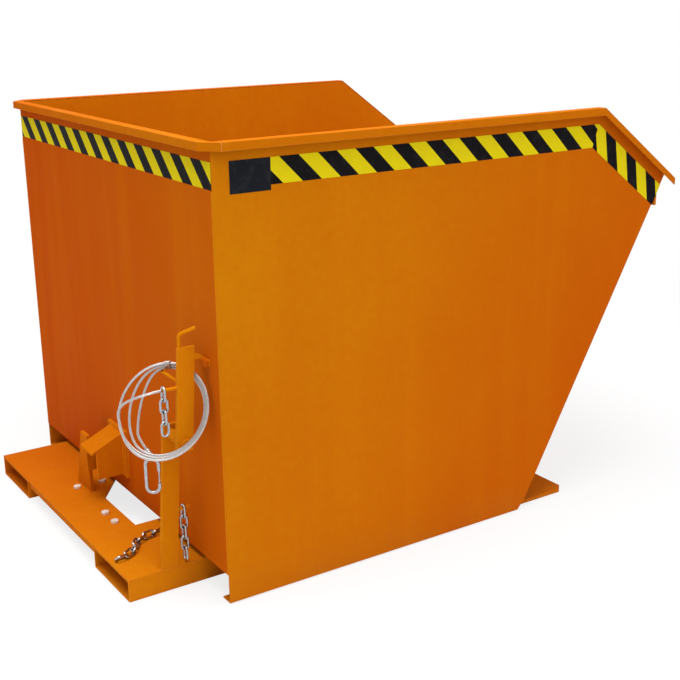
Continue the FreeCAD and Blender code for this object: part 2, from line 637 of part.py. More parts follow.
def snap_hook():
    wire = size("hook_wire") / 2
    half = size("hook_width") / 2 - wire
    top = from_lever(HOOK_TOP) - Vector(0, 0, wire)
    low = top - Vector(0, 0, size("hook_length") - 2 * wire)
    gate_top = top - Vector(0, 0, size("hook_gap_top"))
    gate_low = low + Vector(0, 0, half)
    side = HOOK_ACROSS * half
    down = Vector(0, 0, -1)
    up = Vector(0, 0, 1)
    shoulder = Vector(0, 0, -half)
    edges = [Part.LineSegment(gate_top + side, top + side + shoulder).toShape()]
    edges += biarc(top + side + shoulder, up, top - side + shoulder, down)
    edges.append(Part.LineSegment(top - side + shoulder, gate_low - side).toShape())
    edges += biarc(gate_low - side, down, gate_low + side, up)
    fork_top = gate_low + side + up * size("fork_rise")
    edges.append(Part.LineSegment(gate_low + side, fork_top).toShape())
    body = tube(edges, gate_top + side, up, wire)
    # The gate turns on a pin across the hook's forked lower end and closes against the upper end.
    facing = HOOK_ACROSS.cross(up)
    clear = size("hole_clearance")
    pin_radius = size("gate_pin_radius")
    pin_at = gate_low + side + up * size("gate_pin_rise")
    slot_half = wire / 2 + clear
    floor = gate_low + side + up * size("fork_floor") - facing * slot_half - HOOK_ACROSS * (2 * wire)
    across = HOOK_ACROSS * (4 * wire)
    through = facing * (2 * slot_half)
    ring = [floor, floor + across, floor + across + through, floor + through, floor]
    slot = Part.Face(Part.makePolygon(ring)).extrude(up * (size("fork_rise") + wire))
    pin_half = slot_half + size("pin_seat")
    pin = Part.makeCylinder(pin_radius, 2 * pin_half, pin_at - facing * pin_half, facing)
    feature("snap_hook", body.cut(slot).fuse(pin).removeSplitter())
    length = (gate_top + side - pin_at).Length - clear
    bar = Part.makeCylinder(wire / 2 - clear, length, pin_at, up)
    eye_start = pin_at - facing * (wire / 2)
    eye = Part.makeCylinder(size("gate_radius"), wire, eye_start, facing)
    hole = Part.makeCylinder(pin_radius + size("running_clearance"), wire, eye_start, facing)
    feature("snap_hook_gate", bar.fuse(eye).cut(hole).removeSplitter())
    print("gate pin", [round(v, 3) for v in pin_at], "axis", [round(v, 4) for v in facing])


# Chains of oval links.
def link_shape(centre, along, flat):
    wire = size("link_wire") / 2
    half_width = size("link_width") / 2 + wire
    half_length = size("link_length") / 2 + wire - half_width
    side = flat * half_width
    a = centre - along * half_length
    b = centre + along * half_length
    edges = [Part.LineSegment(a + side, b + side).toShape(),
             Part.Arc(b + side, b + along * half_width, b - side).toShape(),
             Part.LineSegment(b - side, a - side).toShape(),
             Part.Arc(a - side, a - along * half_width, a + side).toShape()]
    return tube(edges, a + side, along, wire)


def chain(label, centres, directions, flats):
    links = [link_shape(*link) for link in zip(centres, directions, flats)]
    feature(label, Part.makeCompound(links))


def hanging_chain(label, peg_x, peg_y, peg_z, count):
    pitch = size("link_length") - 2 * size("hole_clearance")
    first = peg_z + size("peg_radius") + size("hole_clearance") - size("link_length") / 2
    down = Vector(0, 0, -1)
    centres = [shift(peg_x, peg_y, first - i * pitch) for i in range(count)]
    flats = [AXES["Y"] if i % 2 == 0 else AXES["X"] for i in range(count)]
    chain(label, centres, [down] * count, flats)


def anchor_root():
    deck_top = size("pocket_height") + size("deck_gauge")
    rise = size("anchor_z") + size("peg_radius") - deck_top
    return size("post_depth") - size("post_rear") + size("post_lean") / (size("post_top") - deck_top) * rise


# The loose chain on the deck: its heading at the start, and how it turns from link to link, in degrees.
DECK_CHAIN_HEADING = 200
DECK_CHAIN_TURNS = (0, -10, 18, 26, 2, -27, -19)


def deck_chain():
    pitch = size("link_length") - 2 * size("hole_clearance")
    lean = math.sqrt(0.5)
    wire = size("link_wire") / 2
    lift = (size("link_width") / 2 + wire) * lean + wire + size("hole_clearance")
    height = size("pocket_height") + size("deck_gauge") + lift
    point = shift(-size("deck_chain_x"), size("deck_chain_inset") - size("base_half_width"), height)
    heading = DECK_CHAIN_HEADING
    centres = []
    directions = []
    flats = []
    for number, turn in enumerate(DECK_CHAIN_TURNS):
        before = Vector(math.cos(math.radians(heading)), math.sin(math.radians(heading)), 0)
        heading += turn
        along = Vector(math.cos(math.radians(heading)), math.sin(math.radians(heading)), 0)
        if number:
            point = point + (before + along) * (pitch / 2)
        side = AXES["Z"].cross(along)
        sign = 1 if number % 2 == 0 else -1
        centres.append(point)
        directions.append(along)
        flats.append((side * sign + AXES["Z"]) * lean)
    chain("deck_chain", centres, directions, flats)


# The lever's handle: a round rod that rises from its top edge and bends forward and outward.
ROD_END = Vector(31, -25, 18)


def handle_rod():
    x = size("lever_lean") - size("lever_rear") + size("rod_inset")
    foot = shift(x, lever_middle(), size("lever_top"))
    knee = foot + AXES["Z"] * size("rod_rise")
    feature("lever_handle_rod", bent_rod([foot, knee, knee + ROD_END], size("rod_bend"), size("rod_radius")))


trough_sheets()
rim()
tape()
lugs()
wall_catches()
base_frame()
tipping_axle()
latch_post()
latch_lever()
doc.recompute()
rope_hanger()
wire_rope()
snap_hook()
hanging_chain("hanging_chain", chain_peg_root() - size("chain_seat"), lever_middle(), size("chain_peg_z"),
              int(size("lever_chain_links")))
hanging_chain("post_chain", anchor_root() + size("anchor_seat"),
              -size("base_half_width") + size("post_gauge") / 2, size("anchor_z"),
              int(size("post_chain_links")))
deck_chain()
handle_rod()
doc.recompute()

faults = [item.Name for item in doc.Objects if "Invalid" in item.State or "Error" in item.State]
for item in parts:
    if item.Shape.isNull() or not item.Shape.isValid():
        faults.append(item.Name)
if faults:
    raise RuntimeError("failed objects: " + ", ".join(faults))

os.makedirs("parts", exist_ok=True)
for item in parts:
    item.Shape.exportStep("parts/" + item.Label + ".step")
print(len(parts), "parts written")
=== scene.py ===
import bmesh
import bpy
import json
import math
from mathutils import Matrix, Vector


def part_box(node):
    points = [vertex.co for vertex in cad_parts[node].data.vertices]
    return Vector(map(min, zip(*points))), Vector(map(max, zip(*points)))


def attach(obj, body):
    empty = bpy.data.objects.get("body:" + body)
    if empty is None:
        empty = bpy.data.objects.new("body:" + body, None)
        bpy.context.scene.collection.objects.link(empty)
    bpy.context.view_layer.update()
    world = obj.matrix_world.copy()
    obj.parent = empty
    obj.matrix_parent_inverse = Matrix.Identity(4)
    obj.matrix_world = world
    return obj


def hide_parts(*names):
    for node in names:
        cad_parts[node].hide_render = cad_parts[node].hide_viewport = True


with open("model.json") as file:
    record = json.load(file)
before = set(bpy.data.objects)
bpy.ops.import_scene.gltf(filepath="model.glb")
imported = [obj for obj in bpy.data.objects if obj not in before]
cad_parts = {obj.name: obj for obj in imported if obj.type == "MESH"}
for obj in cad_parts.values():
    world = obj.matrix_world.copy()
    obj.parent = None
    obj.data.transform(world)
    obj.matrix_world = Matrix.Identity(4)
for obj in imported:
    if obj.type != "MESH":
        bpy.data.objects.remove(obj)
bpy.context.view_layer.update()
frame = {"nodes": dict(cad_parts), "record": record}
nodes = frame["nodes"]
scene = bpy.context.scene
scene.view_settings.view_transform = "Standard"

MM = 0.001
FULL_CIRCLE = 2 * math.pi
X_AXIS = Vector((1, 0, 0))
Y_AXIS = Vector((0, 1, 0))
Z_AXIS = Vector((0, 0, 1))
# Corners closer than this, in metres, are one corner.
JOIN_DISTANCE = 0.00002

# Places below are in millimetres, with X from the back wall; the frame's origin is the footprint's middle.
WALL_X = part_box("back_wall")[0].x


def in_frame(point):
    return Vector(point) * MM + X_AXIS * WALL_X


def node_box(name):
    # A node's lowest and highest corners in millimetres, to a tenth.
    corners = [(corner - X_AXIS * WALL_X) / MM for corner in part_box(name)]
    return [Vector([round(value, 1) for value in corner]) for corner in corners]


# Camera, at the photograph's viewing angle.
IMAGE_WIDTH = 680
FOCAL_PIXELS = 1151.9
SENSOR_WIDTH = 36.0
AZIMUTH = math.radians(-33.2)
ELEVATION = math.radians(16.96)
ROLL = -0.012
CAMERA_AT = Vector((-1.724, -2.793, 1.396))


def make_camera():
    data = bpy.data.cameras.new("camera")
    data.sensor_width = SENSOR_WIDTH
    data.lens = FOCAL_PIXELS / IMAGE_WIDTH * SENSOR_WIDTH
    back = Vector((math.sin(AZIMUTH) * math.cos(ELEVATION),
                   -math.cos(AZIMUTH) * math.cos(ELEVATION),
                   math.sin(ELEVATION)))
    right = Z_AXIS.cross(back).normalized()
    up = back.cross(right)
    side = right * math.cos(ROLL) + up * math.sin(ROLL)
    top = up * math.cos(ROLL) - right * math.sin(ROLL)
    turn = Matrix((side, top, back)).transposed().to_4x4()
    camera = bpy.data.objects.new("camera", data)
    camera.matrix_world = Matrix.Translation(CAMERA_AT) @ turn
    scene.collection.objects.link(camera)
    scene.camera = camera


make_camera()

# Material helpers. Most of a noise's values lie between the two that are named here.
NOISE_LOW = 0.3
NOISE_HIGH = 0.7


def new_material(name):
    material = bpy.data.materials.new(name)
    material.use_nodes = True
    tree = material.node_tree
    return material, tree, tree.nodes["Principled BSDF"]


def add_noise(tree, scale, detail=3.0, rough=0.5, stretch=None):
    # Noise over the object, drawn out along its axes where a stretch is given.
    where = tree.nodes.new("ShaderNodeTexCoord")
    place = where.outputs["Object"]
    if stretch is not None:
        mapping = tree.nodes.new("ShaderNodeMapping")
        mapping.inputs["Scale"].default_value = stretch
        tree.links.new(place, mapping.inputs["Vector"])
        place = mapping.outputs["Vector"]
    texture = tree.nodes.new("ShaderNodeTexNoise")
    texture.inputs["Scale"].default_value = scale
    texture.inputs["Detail"].default_value = detail
    texture.inputs["Roughness"].default_value = rough
    tree.links.new(place, texture.inputs["Vector"])
    return texture.outputs["Fac"]


def add_range(tree, value, low, high, from_low=NOISE_LOW, from_high=NOISE_HIGH):
    scaled = tree.nodes.new("ShaderNodeMapRange")
    scaled.inputs["From Min"].default_value = from_low
    scaled.inputs["From Max"].default_value = from_high
    scaled.inputs["To Min"].default_value = low
    scaled.inputs["To Max"].default_value = high
    tree.links.new(value, scaled.inputs["Value"])
    return scaled.outputs["Result"]


def add_share(tree, value, low, high):
    # Turns a value from 0 to 1 into one from low to high.
    return add_range(tree, value, low, high, 0.0, 1.0)


def add_mix(tree, factor, first, second):
    mix = tree.nodes.new("ShaderNodeMix")
    mix.data_type = "RGBA"
    tree.links.new(factor, mix.inputs["Factor"])
    for socket, colour in ((mix.inputs["A"], first), (mix.inputs["B"], second)):
        if isinstance(colour, tuple):
            socket.default_value = (*colour, 1.0)
        else:
            tree.links.new(colour, socket)
    return mix.outputs["Result"]


def add_math(tree, operation, first, second):
    result = tree.nodes.new("ShaderNodeMath")
    result.operation = operation
    tree.links.new(first, result.inputs[0])
    tree.links.new(second, result.inputs[1])
    return result.outputs[0]


def add_bump(tree, shader, height, strength, distance, before=None):
    bump = tree.nodes.new("ShaderNodeBump")
    bump.inputs["Strength"].default_value = strength
    bump.inputs["Distance"].default_value = distance
    tree.links.new(height, bump.inputs["Height"])
    if before is not None:
        tree.links.new(before, bump.inputs["Normal"])
    tree.links.new(bump.outputs["Normal"], shader.inputs["Normal"])
    return bump.outputs["Normal"]


def add_slope(tree, weights, low, high, source="Object"):
    # A value that grows along a direction of the object, and is held between 0 and 1.
    where = tree.nodes.new("ShaderNodeTexCoord")
    dot = tree.nodes.new("ShaderNodeVectorMath")
    dot.operation = "DOT_PRODUCT"
    dot.inputs[1].default_value = weights
    tree.links.new(where.outputs[source], dot.inputs[0])
    return add_range(tree, dot.outputs["Value"], 0.0, 1.0, low, high)


def add_edges(tree, radius, from_low, from_high):
    # 1 along a piece's edges and 0 on flat faces: how far a rounded normal turns from the true one.
    rounded = tree.nodes.new("ShaderNodeBevel")
    rounded.inputs["Radius"].default_value = radius
    true = tree.nodes.new("ShaderNodeNewGeometry")
    dot = tree.nodes.new("ShaderNodeVectorMath")
    dot.operation = "DOT_PRODUCT"
    tree.links.new(rounded.outputs["Normal"], dot.inputs[0])
    tree.links.new(true.outputs["Normal"], dot.inputs[1])
    return add_range(tree, dot.outputs["Value"], 1.0, 0.0, from_low, from_high)


def add_hollows(tree, reach, from_low, from_high):
    # 1 in grooves and narrow gaps and 0 in the open, for the painted shade laid there.
    hollow = tree.nodes.new("ShaderNodeAmbientOcclusion")
    hollow.inputs["Distance"].default_value = reach
    return add_range(tree, hollow.outputs["AO"], 1.0, 0.0, from_low, from_high)


def shaded(colour, factor):
    return tuple(channel * factor for channel in colour)


# Powder coat whose hue is painted light and shade: yellower, as in light, towards the near rear corner and
# redder, as in shade, away from it;
# with clouds, faint runs, dust low down, edges rubbed lighter and partly given a painted highlight, a fine
# orange peel and a slow waviness of the sheet under it.
# The warm and deep colours are the painted lit and shaded hues of one paint.
PAINT_WARM = (0.590, 0.205, 0.0030)
PAINT_DEEP = (0.550, 0.078, 0.0020)
PAINT_DUST = (0.44, 0.19, 0.030)
# Edge colour: partly wear and partly a painted highlight.
EDGE_WEAR_AND_HIGHLIGHT = (0.74, 0.30, 0.040)
# Rim edge colour: a painted highlight along the rims' rounded edges.
RIM_EDGE_HIGHLIGHT = (0.86, 0.50, 0.22)
PAINT_SHEEN = (1.0, 0.50, 0.12, 1.0)
PAINT_SPECULAR = 0.008
PAINT_ROUGH = (0.58, 0.74)
# The way along which the painted shade deepens the hue.
HUE_WAY = (0.55, 0.90, -0.25)
HUE_FROM = -1.06
HUE_TO = -0.10
DOWN = (0.0, 0.0, -1.0)
DUST_FROM = -0.10
DUST_TO = -0.01
RUB_RADIUS = 0.0022
RUB_FROM = 0.75
RUB_TO = 0.97
RUB_SHARE = (0.25, 0.85)
CLOUD_SHARE = (0.0, 0.30)
CLOUD_SHADE = 0.85
RUN_SHARE = (0.0, 0.18)
RUN_FROM = 0.5
RUN_TO = 0.8
RUN_SHADE = 1.15
SPECK_SHARE = (0.0, 0.20)
SPECK_SHADE = 0.95
DUST_SHARE = (0.0, 0.18)
# Each grain is a noise's scale, detail and roughness, and each relief a bump's strength and depth.
CLOUD_GRAIN = (1.6, 3.0, 0.5)
RUN_GRAIN = (1.0, 4.0, 0.5)
RUN_STRETCH = (14.0, 14.0, 0.9)
SPECK_GRAIN = (55.0, 5.0, 0.6)
DUST_GRAIN = (9.0, 6.0, 0.6)
RUB_GRAIN = (30.0, 4.0, 0.5)
GLOSS_GRAIN = (7.0, 4.0, 0.5)
WAVE_GRAIN = (2.2, 1.0, 0.5)
WAVE_RELIEF = (0.25, 0.004)
PEEL_GRAIN = (420.0, 2.0, 0.5)
PEEL_RELIEF = (0.10, 0.0004)


def paint(name, near, far, tone, edge_wear_and_highlight=EDGE_WEAR_AND_HIGHLIGHT):
    # Near and far say how deep the painted shade of the hue is at the near rear corner and away from it, and
    # tone how bright the copy is painted, as lit or shaded.
    material, tree, shader = new_material(name)
    hue = add_share(tree, add_slope(tree, HUE_WAY, HUE_FROM, HUE_TO), near, far)
    base = add_mix(tree, hue, shaded(PAINT_WARM, tone), shaded(PAINT_DEEP, tone))
    clouds = add_range(tree, add_noise(tree, *CLOUD_GRAIN), *CLOUD_SHARE)
    base = add_mix(tree, clouds, base, shaded(PAINT_DEEP, CLOUD_SHADE))
    runs = add_range(tree, add_noise(tree, *RUN_GRAIN, RUN_STRETCH), *RUN_SHARE, RUN_FROM, RUN_TO)
    base = add_mix(tree, runs, base, shaded(PAINT_WARM, RUN_SHADE))
    specks = add_range(tree, add_noise(tree, *SPECK_GRAIN), *SPECK_SHARE)
    base = add_mix(tree, specks, base, shaded(PAINT_DEEP, SPECK_SHADE))
    dust = add_range(tree, add_noise(tree, *DUST_GRAIN), *DUST_SHARE)
    low = add_math(tree, "MULTIPLY", add_slope(tree, DOWN, DUST_FROM, DUST_TO), dust)
    base = add_mix(tree, low, base, PAINT_DUST)
    # Edges lightened partly by wear and partly by a painted highlight.
    rub = add_range(tree, add_noise(tree, *RUB_GRAIN), *RUB_SHARE)
    worn_and_lit_edges = add_math(tree, "MULTIPLY", add_edges(tree, RUB_RADIUS, RUB_FROM, RUB_TO), rub)
    tree.links.new(add_mix(tree, worn_and_lit_edges, base, edge_wear_and_highlight), shader.inputs["Base Color"])
    rough = add_range(tree, add_noise(tree, *GLOSS_GRAIN), *PAINT_ROUGH)
    tree.links.new(rough, shader.inputs["Roughness"])
    shader.inputs["Specular IOR Level"].default_value = PAINT_SPECULAR
    shader.inputs["Specular Tint"].default_value = PAINT_SHEEN
    wave = add_bump(tree, shader, add_noise(tree, *WAVE_GRAIN), *WAVE_RELIEF)
    add_bump(tree, shader, add_noise(tree, *PEEL_GRAIN), *PEEL_RELIEF, wave)
    return material


# Bare or plated metal: patchy tone, painted shade darkening the grooves and gaps, uneven gloss and a fine
# grain.
HOLLOW_SHADE = (0.035, 0.030, 0.027)
HOLLOW_SHADE_REACH = 0.007
HOLLOW_SHADE_FROM = 0.25
HOLLOW_SHADE_TO = 0.75
PATCH_DETAIL = 4.0
PATCH_SHADE = 0.72
GLOSS_PER_PATCH = 2.5
METAL_GRAIN = 900.0
METAL_RELIEF = (0.06, 0.0003)


def metal(name, colour, rough, patch=180.0, metallic=1.0, hollow_shade=0.85):
    material, tree, shader = new_material(name)
    patches = add_range(tree, add_noise(tree, patch, PATCH_DETAIL), 0.0, 1.0)
    base = add_mix(tree, patches, colour, shaded(colour, PATCH_SHADE))
    # Painted shade: the grooves and gaps are darkened.
    shade_in_hollows = add_share(tree, add_hollows(tree, HOLLOW_SHADE_REACH, HOLLOW_SHADE_FROM, HOLLOW_SHADE_TO), 0.0, hollow_shade)
    tree.links.new(add_mix(tree, shade_in_hollows, base, HOLLOW_SHADE), shader.inputs["Base Color"])
    gloss = add_range(tree, add_noise(tree, patch * GLOSS_PER_PATCH), *rough)
    tree.links.new(gloss, shader.inputs["Roughness"])
    shader.inputs["Metallic"].default_value = metallic
    add_bump(tree, shader, add_noise(tree, METAL_GRAIN), *METAL_RELIEF)
    return material


# Printed film: even colour with small scuffs and a faint grain.
SCUFF_GRAIN = (38.0, 8.0, 0.7)
SCUFF_SHARE = (0.0, 0.5)
SCUFF_FROM = 0.5
SCUFF_TO = 0.8
FILM_GLOSS_GRAIN = 90.0
FILM_SPECULAR = 0.02
FILM_GRAIN = 1400.0
FILM_RELIEF = (0.05, 0.0002)


def film(name, colour, scuffed, rough):
    material, tree, shader = new_material(name)
    scuffs = add_range(tree, add_noise(tree, *SCUFF_GRAIN), *SCUFF_SHARE, SCUFF_FROM, SCUFF_TO)
    tree.links.new(add_mix(tree, scuffs, colour, scuffed), shader.inputs["Base Color"])
    gloss = add_range(tree, add_noise(tree, FILM_GLOSS_GRAIN), *rough)
    tree.links.new(gloss, shader.inputs["Roughness"])
    shader.inputs["Specular IOR Level"].default_value = FILM_SPECULAR
    add_bump(tree, shader, add_noise(tree, FILM_GRAIN), *FILM_RELIEF)
    return material


# Rubber: near black, with dust in patches.
RUBBER_BLACK = (0.018, 0.018, 0.019)
RUBBER_DUST = (0.06, 0.055, 0.05)
RUBBER_DUST_GRAIN = (25.0, 6.0)
RUBBER_DUST_SHARE = (0.0, 0.6)
RUBBER_ROUGH = 0.8
RUBBER_GRAIN = 300.0
RUBBER_RELIEF = (0.2, 0.0005)


def rubber(name):
    material, tree, shader = new_material(name)
    dust = add_range(tree, add_noise(tree, *RUBBER_DUST_GRAIN), *RUBBER_DUST_SHARE)
    tree.links.new(add_mix(tree, dust, RUBBER_BLACK, RUBBER_DUST), shader.inputs["Base Color"])
    shader.inputs["Roughness"].default_value = RUBBER_ROUGH
    add_bump(tree, shader, add_noise(tree, RUBBER_GRAIN), *RUBBER_RELIEF)
    return material


# Lit and shaded copies of one powder coat: each part's hue depth and tone are painted light and shade.
PAINTS = {
    "outer": paint("outer_paint", near=0.0, far=1.0, tone=0.97),
    "wall": paint("wall_paint", near=0.65, far=1.0, tone=0.95),
    "inner": paint("inner_paint", near=0.0, far=0.25, tone=1.02),
    "rim": paint("rim_paint", near=0.15, far=0.55, tone=0.95, edge_wear_and_highlight=RIM_EDGE_HIGHLIGHT),
    "frame": paint("frame_paint", near=0.0, far=0.50, tone=1.11),
    "lever": paint("lever_paint", near=0.0, far=0.15, tone=1.14),
}
PAINT_OF_BODY = {"base": "frame", "trough": "frame", "lever": "lever"}
PAINT_OF_NODE = {
    "side_panel_right": "outer",
    "side_panel_left": "inner",
    "back_wall": "wall",
    "latch_keeper": "wall",
    "floor_sheet": "inner",
    "chute_sheet": "inner",
    "pouring_lip_bar": "inner",
    "rim_left": "rim",
    "rim_right": "rim",
    "rim_rear": "rim",
}
MATERIALS = {
    "zinc_fasteners": metal("zinc_fasteners", colour=(0.95, 0.92, 0.82), rough=(0.22, 0.36),
                            metallic=0.15, hollow_shade=0.2),
    "axle_steel": metal("axle_steel", colour=(0.52, 0.52, 0.53), rough=(0.25, 0.40)),
    "bush_bronze": metal("bush_bronze", colour=(0.62, 0.42, 0.19), rough=(0.30, 0.45)),
    "pad_rubber": rubber("pad_rubber"),
    "zinc_chain": metal("zinc_chain", colour=(0.52, 0.52, 0.53), rough=(0.12, 0.28)),
    "wire_rope": metal("wire_rope", colour=(0.74, 0.71, 0.69), rough=(0.24, 0.40), patch=400.0),
    "ferrule_aluminium": metal("ferrule_aluminium", colour=(0.74, 0.74, 0.75), rough=(0.30, 0.45)),
    "hazard_tape": film("hazard_yellow", colour=(0.71, 0.58, 0.006), scuffed=(0.58, 0.46, 0.02),
                        rough=(0.55, 0.70)),
    "label_black": film("label_black", colour=(0.012, 0.013, 0.017), scuffed=(0.05, 0.05, 0.055),
                        rough=(0.30, 0.45)),
}
TAPE_BLACK = film("hazard_black", colour=(0.008, 0.007, 0.008), scuffed=(0.03, 0.028, 0.026),
                  rough=(0.40, 0.55))


def dress(piece, material):
    piece.data.materials.clear()
    piece.data.materials.append(material)


def dress_frame():
    slots = {row["node"]: row["material_slot"] for row in frame["record"]["subparts"]}
    for body, names in frame["record"]["behaviour"]["bodies"].items():
        for name in names:
            if slots[name] == "orange_paint":
                dress(nodes[name], PAINTS[PAINT_OF_NODE.get(name, PAINT_OF_BODY[body])])
            else:
                dress(nodes[name], MATERIALS[slots[name]])


dress_frame()

# Rounded edges on the sheets, bars and fasteners: the radius in millimetres, and the nodes that have it.
EDGE_RADIUS = {
    1.6: ("side_panel_left", "side_panel_right", "back_wall", "floor_sheet", "chute_sheet",
          "rim_left", "rim_right", "rim_rear", "pouring_lip_bar"),
    1.2: ("fork_pocket_left", "fork_pocket_right", "rear_deck_plate", "deck_rib", "middle_cross_tube",
          "front_cross_plate", "catch_upright", "catch_wall_plate", "catch_tongue", "latch_post",
          "latch_lever", "latch_keeper", "axle_bearing_left", "axle_bearing_right",
          "axle_lug_left", "axle_lug_right", "rest_pads"),
    0.8: ("deck_bolts", "deck_nuts", "lever_pivot_bolt", "axle_collars", "pivot_spacer",
          "tipping_axle", "chain_peg", "chain_anchor_peg", "rope_hanger_peg", "lever_handle_rod"),
}
EDGE_ANGLE = math.radians(35)
EDGE_SEGMENTS = 2
FLAT_ANGLE = math.radians(1)


def soften_edges():
    for radius, names in EDGE_RADIUS.items():
        for name in names:
            piece = nodes[name]
            weld = piece.modifiers.new("join_corners", "WELD")
            weld.merge_threshold = JOIN_DISTANCE
            flat = piece.modifiers.new("flat_faces", "DECIMATE")
            flat.decimate_type = "DISSOLVE"
            flat.angle_limit = FLAT_ANGLE
            bevel = piece.modifiers.new("edges", "BEVEL")
            bevel.width = radius * MM
            bevel.segments = EDGE_SEGMENTS
            bevel.limit_method = "ANGLE"
            bevel.angle_limit = EDGE_ANGLE
            bevel.harden_normals = True


soften_edges()


def new_piece(name, mesh, body, slot, *materials):
    # Turns a mesh under construction into a piece that moves with a body.
    data = bpy.data.meshes.new(name)
    for material in materials:
        data.materials.append(material)
    mesh.to_mesh(data)
    mesh.free()
    piece = bpy.data.objects.new(name, data)
    scene.collection.objects.link(piece)
    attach(piece, body)
    return piece


# Lines, and the tubes that follow them.
NO_LENGTH = 1e-9
LINE_ORDER = 3


def smooth_line(name, points, steps):
    # The points of a smooth line that has the given points as its control points.
    curve = bpy.data.curves.new(name, "CURVE")
    curve.dimensions = "3D"
    curve.resolution_u = steps
    spline = curve.splines.new("NURBS")
    spline.points.add(len(points) - 1)
    for place, point in zip(spline.points, points):
        place.co = (*point, 1.0)
    spline.order_u = LINE_ORDER
    spline.use_endpoint_u = True
    holder = bpy.data.objects.new(name, curve)
    scene.collection.objects.link(holder)
    bpy.context.view_layer.update()
    mesh = bpy.data.meshes.new_from_object(holder)
    line = [vertex.co.copy() for vertex in mesh.vertices]
    bpy.data.objects.remove(holder)
    bpy.data.meshes.remove(mesh)
    bpy.data.curves.remove(curve)
    return line


def headings(points):
    # The way a line heads at each of its points.
    last = len(points) - 1
    return [(points[min(i + 1, last)] - points[max(i - 1, 0)]).normalized() for i in range(last + 1)]


def along(line, step):
    # Points at even distances along a line, with the way it heads at each, and that distance.
    lengths = [0.0]
    for a, b in zip(line, line[1:]):
        lengths.append(lengths[-1] + (b - a).length)
    count = max(2, round(lengths[-1] / step))
    result = []
    here = 0
    for i in range(count + 1):
        distance = lengths[-1] * i / count
        while here < len(line) - 2 and lengths[here + 1] < distance:
            here += 1
        span = max(lengths[here + 1] - lengths[here], NO_LENGTH)
        result.append(line[here].lerp(line[here + 1], (distance - lengths[here]) / span))
    return result, headings(result), lengths[-1] / count


def carried_sides(ways):
    # A side direction carried along without twist.
    side = ways[0].orthogonal().normalized()
    sides = [side]
    for way in ways[1:]:
        side = (side - way * side.dot(way)).normalized()
        sides.append(side)
    return sides


def add_tube(mesh, centres, ways, sides, radii, corners):
    # A closed round tube through the centres, with its own radius at each.
    rings = []
    for centre, way, side, radius in zip(centres, ways, sides, radii):
        other = way.cross(side)
        ring = [mesh.verts.new(centre + (side * math.cos(a) + other * math.sin(a)) * radius)
                for a in (FULL_CIRCLE * k / corners for k in range(corners))]
        rings.append(ring)
    for low, high in zip(rings, rings[1:]):
        for k in range(corners):
            face = mesh.faces.new((low[k], low[(k + 1) % corners], high[(k + 1) % corners], high[k]))
            face.smooth = True
    mesh.faces.new(reversed(rings[0]))
    mesh.faces.new(rings[-1])


# Wire rope: one line from the lever, through the coil, to the ferrule.
ROPE_DIAMETER = 6.0
LEAD = ((-112.6, -541, 541), (-162.6, -541, 541), (-188.7, -456.8, 493.5), (-188.4, -475.7, 447.1))
TAIL = ((-150, -481.2, 436.7), (-152.3, -484.1, 425.2), (-145.8, -495.6, 404.9), (-141, -501, 395.2))
COIL_CENTRE = Vector((-104, -520, 485))
COIL_ACROSS = Vector((86, -58, 8))
COIL_UP = Vector((23, 27, 104))
COIL_START = 200
COIL_TURNS = 3
COIL_SPREAD = (0.42, 0.22, 0.0, 0.10)
COIL_GROWTH = 0.045
FULL_TURN = 2.5
FAN_FROM = 80
FAN_TO = 250
FAN_POWER = 1.5
TURN_STEP = 6.7
POINTS_PER_TURN = 36
ROPE_LINE_STEPS = 8
STRANDS = 6
# Three strands lie side by side across the rope.
STRANDS_ACROSS = 3
STRAND_RADIUS = ROPE_DIAMETER / STRANDS_ACROSS / 2
LAY_LENGTH = 38.0
STRAND_STEP = 2.8
STRAND_CORNERS = 7


def coil_point(turn):
    # A place on the coil: its loops fan out on one side, differ in size and lie one behind another.
    low = min(int(turn), COIL_TURNS - 1)
    spread = COIL_SPREAD[low] + (COIL_SPREAD[low + 1] - COIL_SPREAD[low]) * (turn - low)
    degrees = (COIL_START - 360 * turn) % 360
    angle = math.radians(degrees)
    fan = 0.0
    if FAN_FROM < degrees < FAN_TO:
        fan = math.sin(math.pi * (degrees - FAN_FROM) / (FAN_TO - FAN_FROM)) ** FAN_POWER
    behind = COIL_UP.cross(COIL_ACROSS).normalized()
    loop = COIL_ACROSS * (math.cos(angle) + spread * fan) + COIL_UP * math.sin(angle)
    growth = 1 + COIL_GROWTH * (turn - FULL_TURN)
    return COIL_CENTRE + loop * growth + behind * (TURN_STEP * (COIL_TURNS - turn))


def rope_route():
    count = COIL_TURNS * POINTS_PER_TURN
    coil = [coil_point((count - i) / POINTS_PER_TURN) for i in range(count + 1)]
    return [in_frame(point) for point in (*LEAD, *coil, *TAIL)]


def wire_rope(end_pieces):
    # A core strand and the strands laid round it.
    route = rope_route()
    line = smooth_line("rope_line", route, ROPE_LINE_STEPS)
    centres, ways, step = along(line, STRAND_STEP * MM)
    sides = carried_sides(ways)
    radii = [STRAND_RADIUS * MM] * len(centres)
    mesh = bmesh.new()
    add_tube(mesh, centres, ways, sides, radii, STRAND_CORNERS)
    for strand in range(STRANDS):
        wound = []
        for i, (centre, way, side) in enumerate(zip(centres, ways, sides)):
            angle = FULL_CIRCLE * (strand / STRANDS + i * step / (LAY_LENGTH * MM))
            out = side * math.cos(angle) + way.cross(side) * math.sin(angle)
            wound.append(centre + out * (2 * STRAND_RADIUS * MM))
        add_tube(mesh, wound, ways, sides, radii, STRAND_CORNERS)
    rope = new_piece("wire_rope", mesh, "lever", "wire_rope", MATERIALS["wire_rope"])
    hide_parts("wire_rope_coil", "rope_lead", "rope_tail")


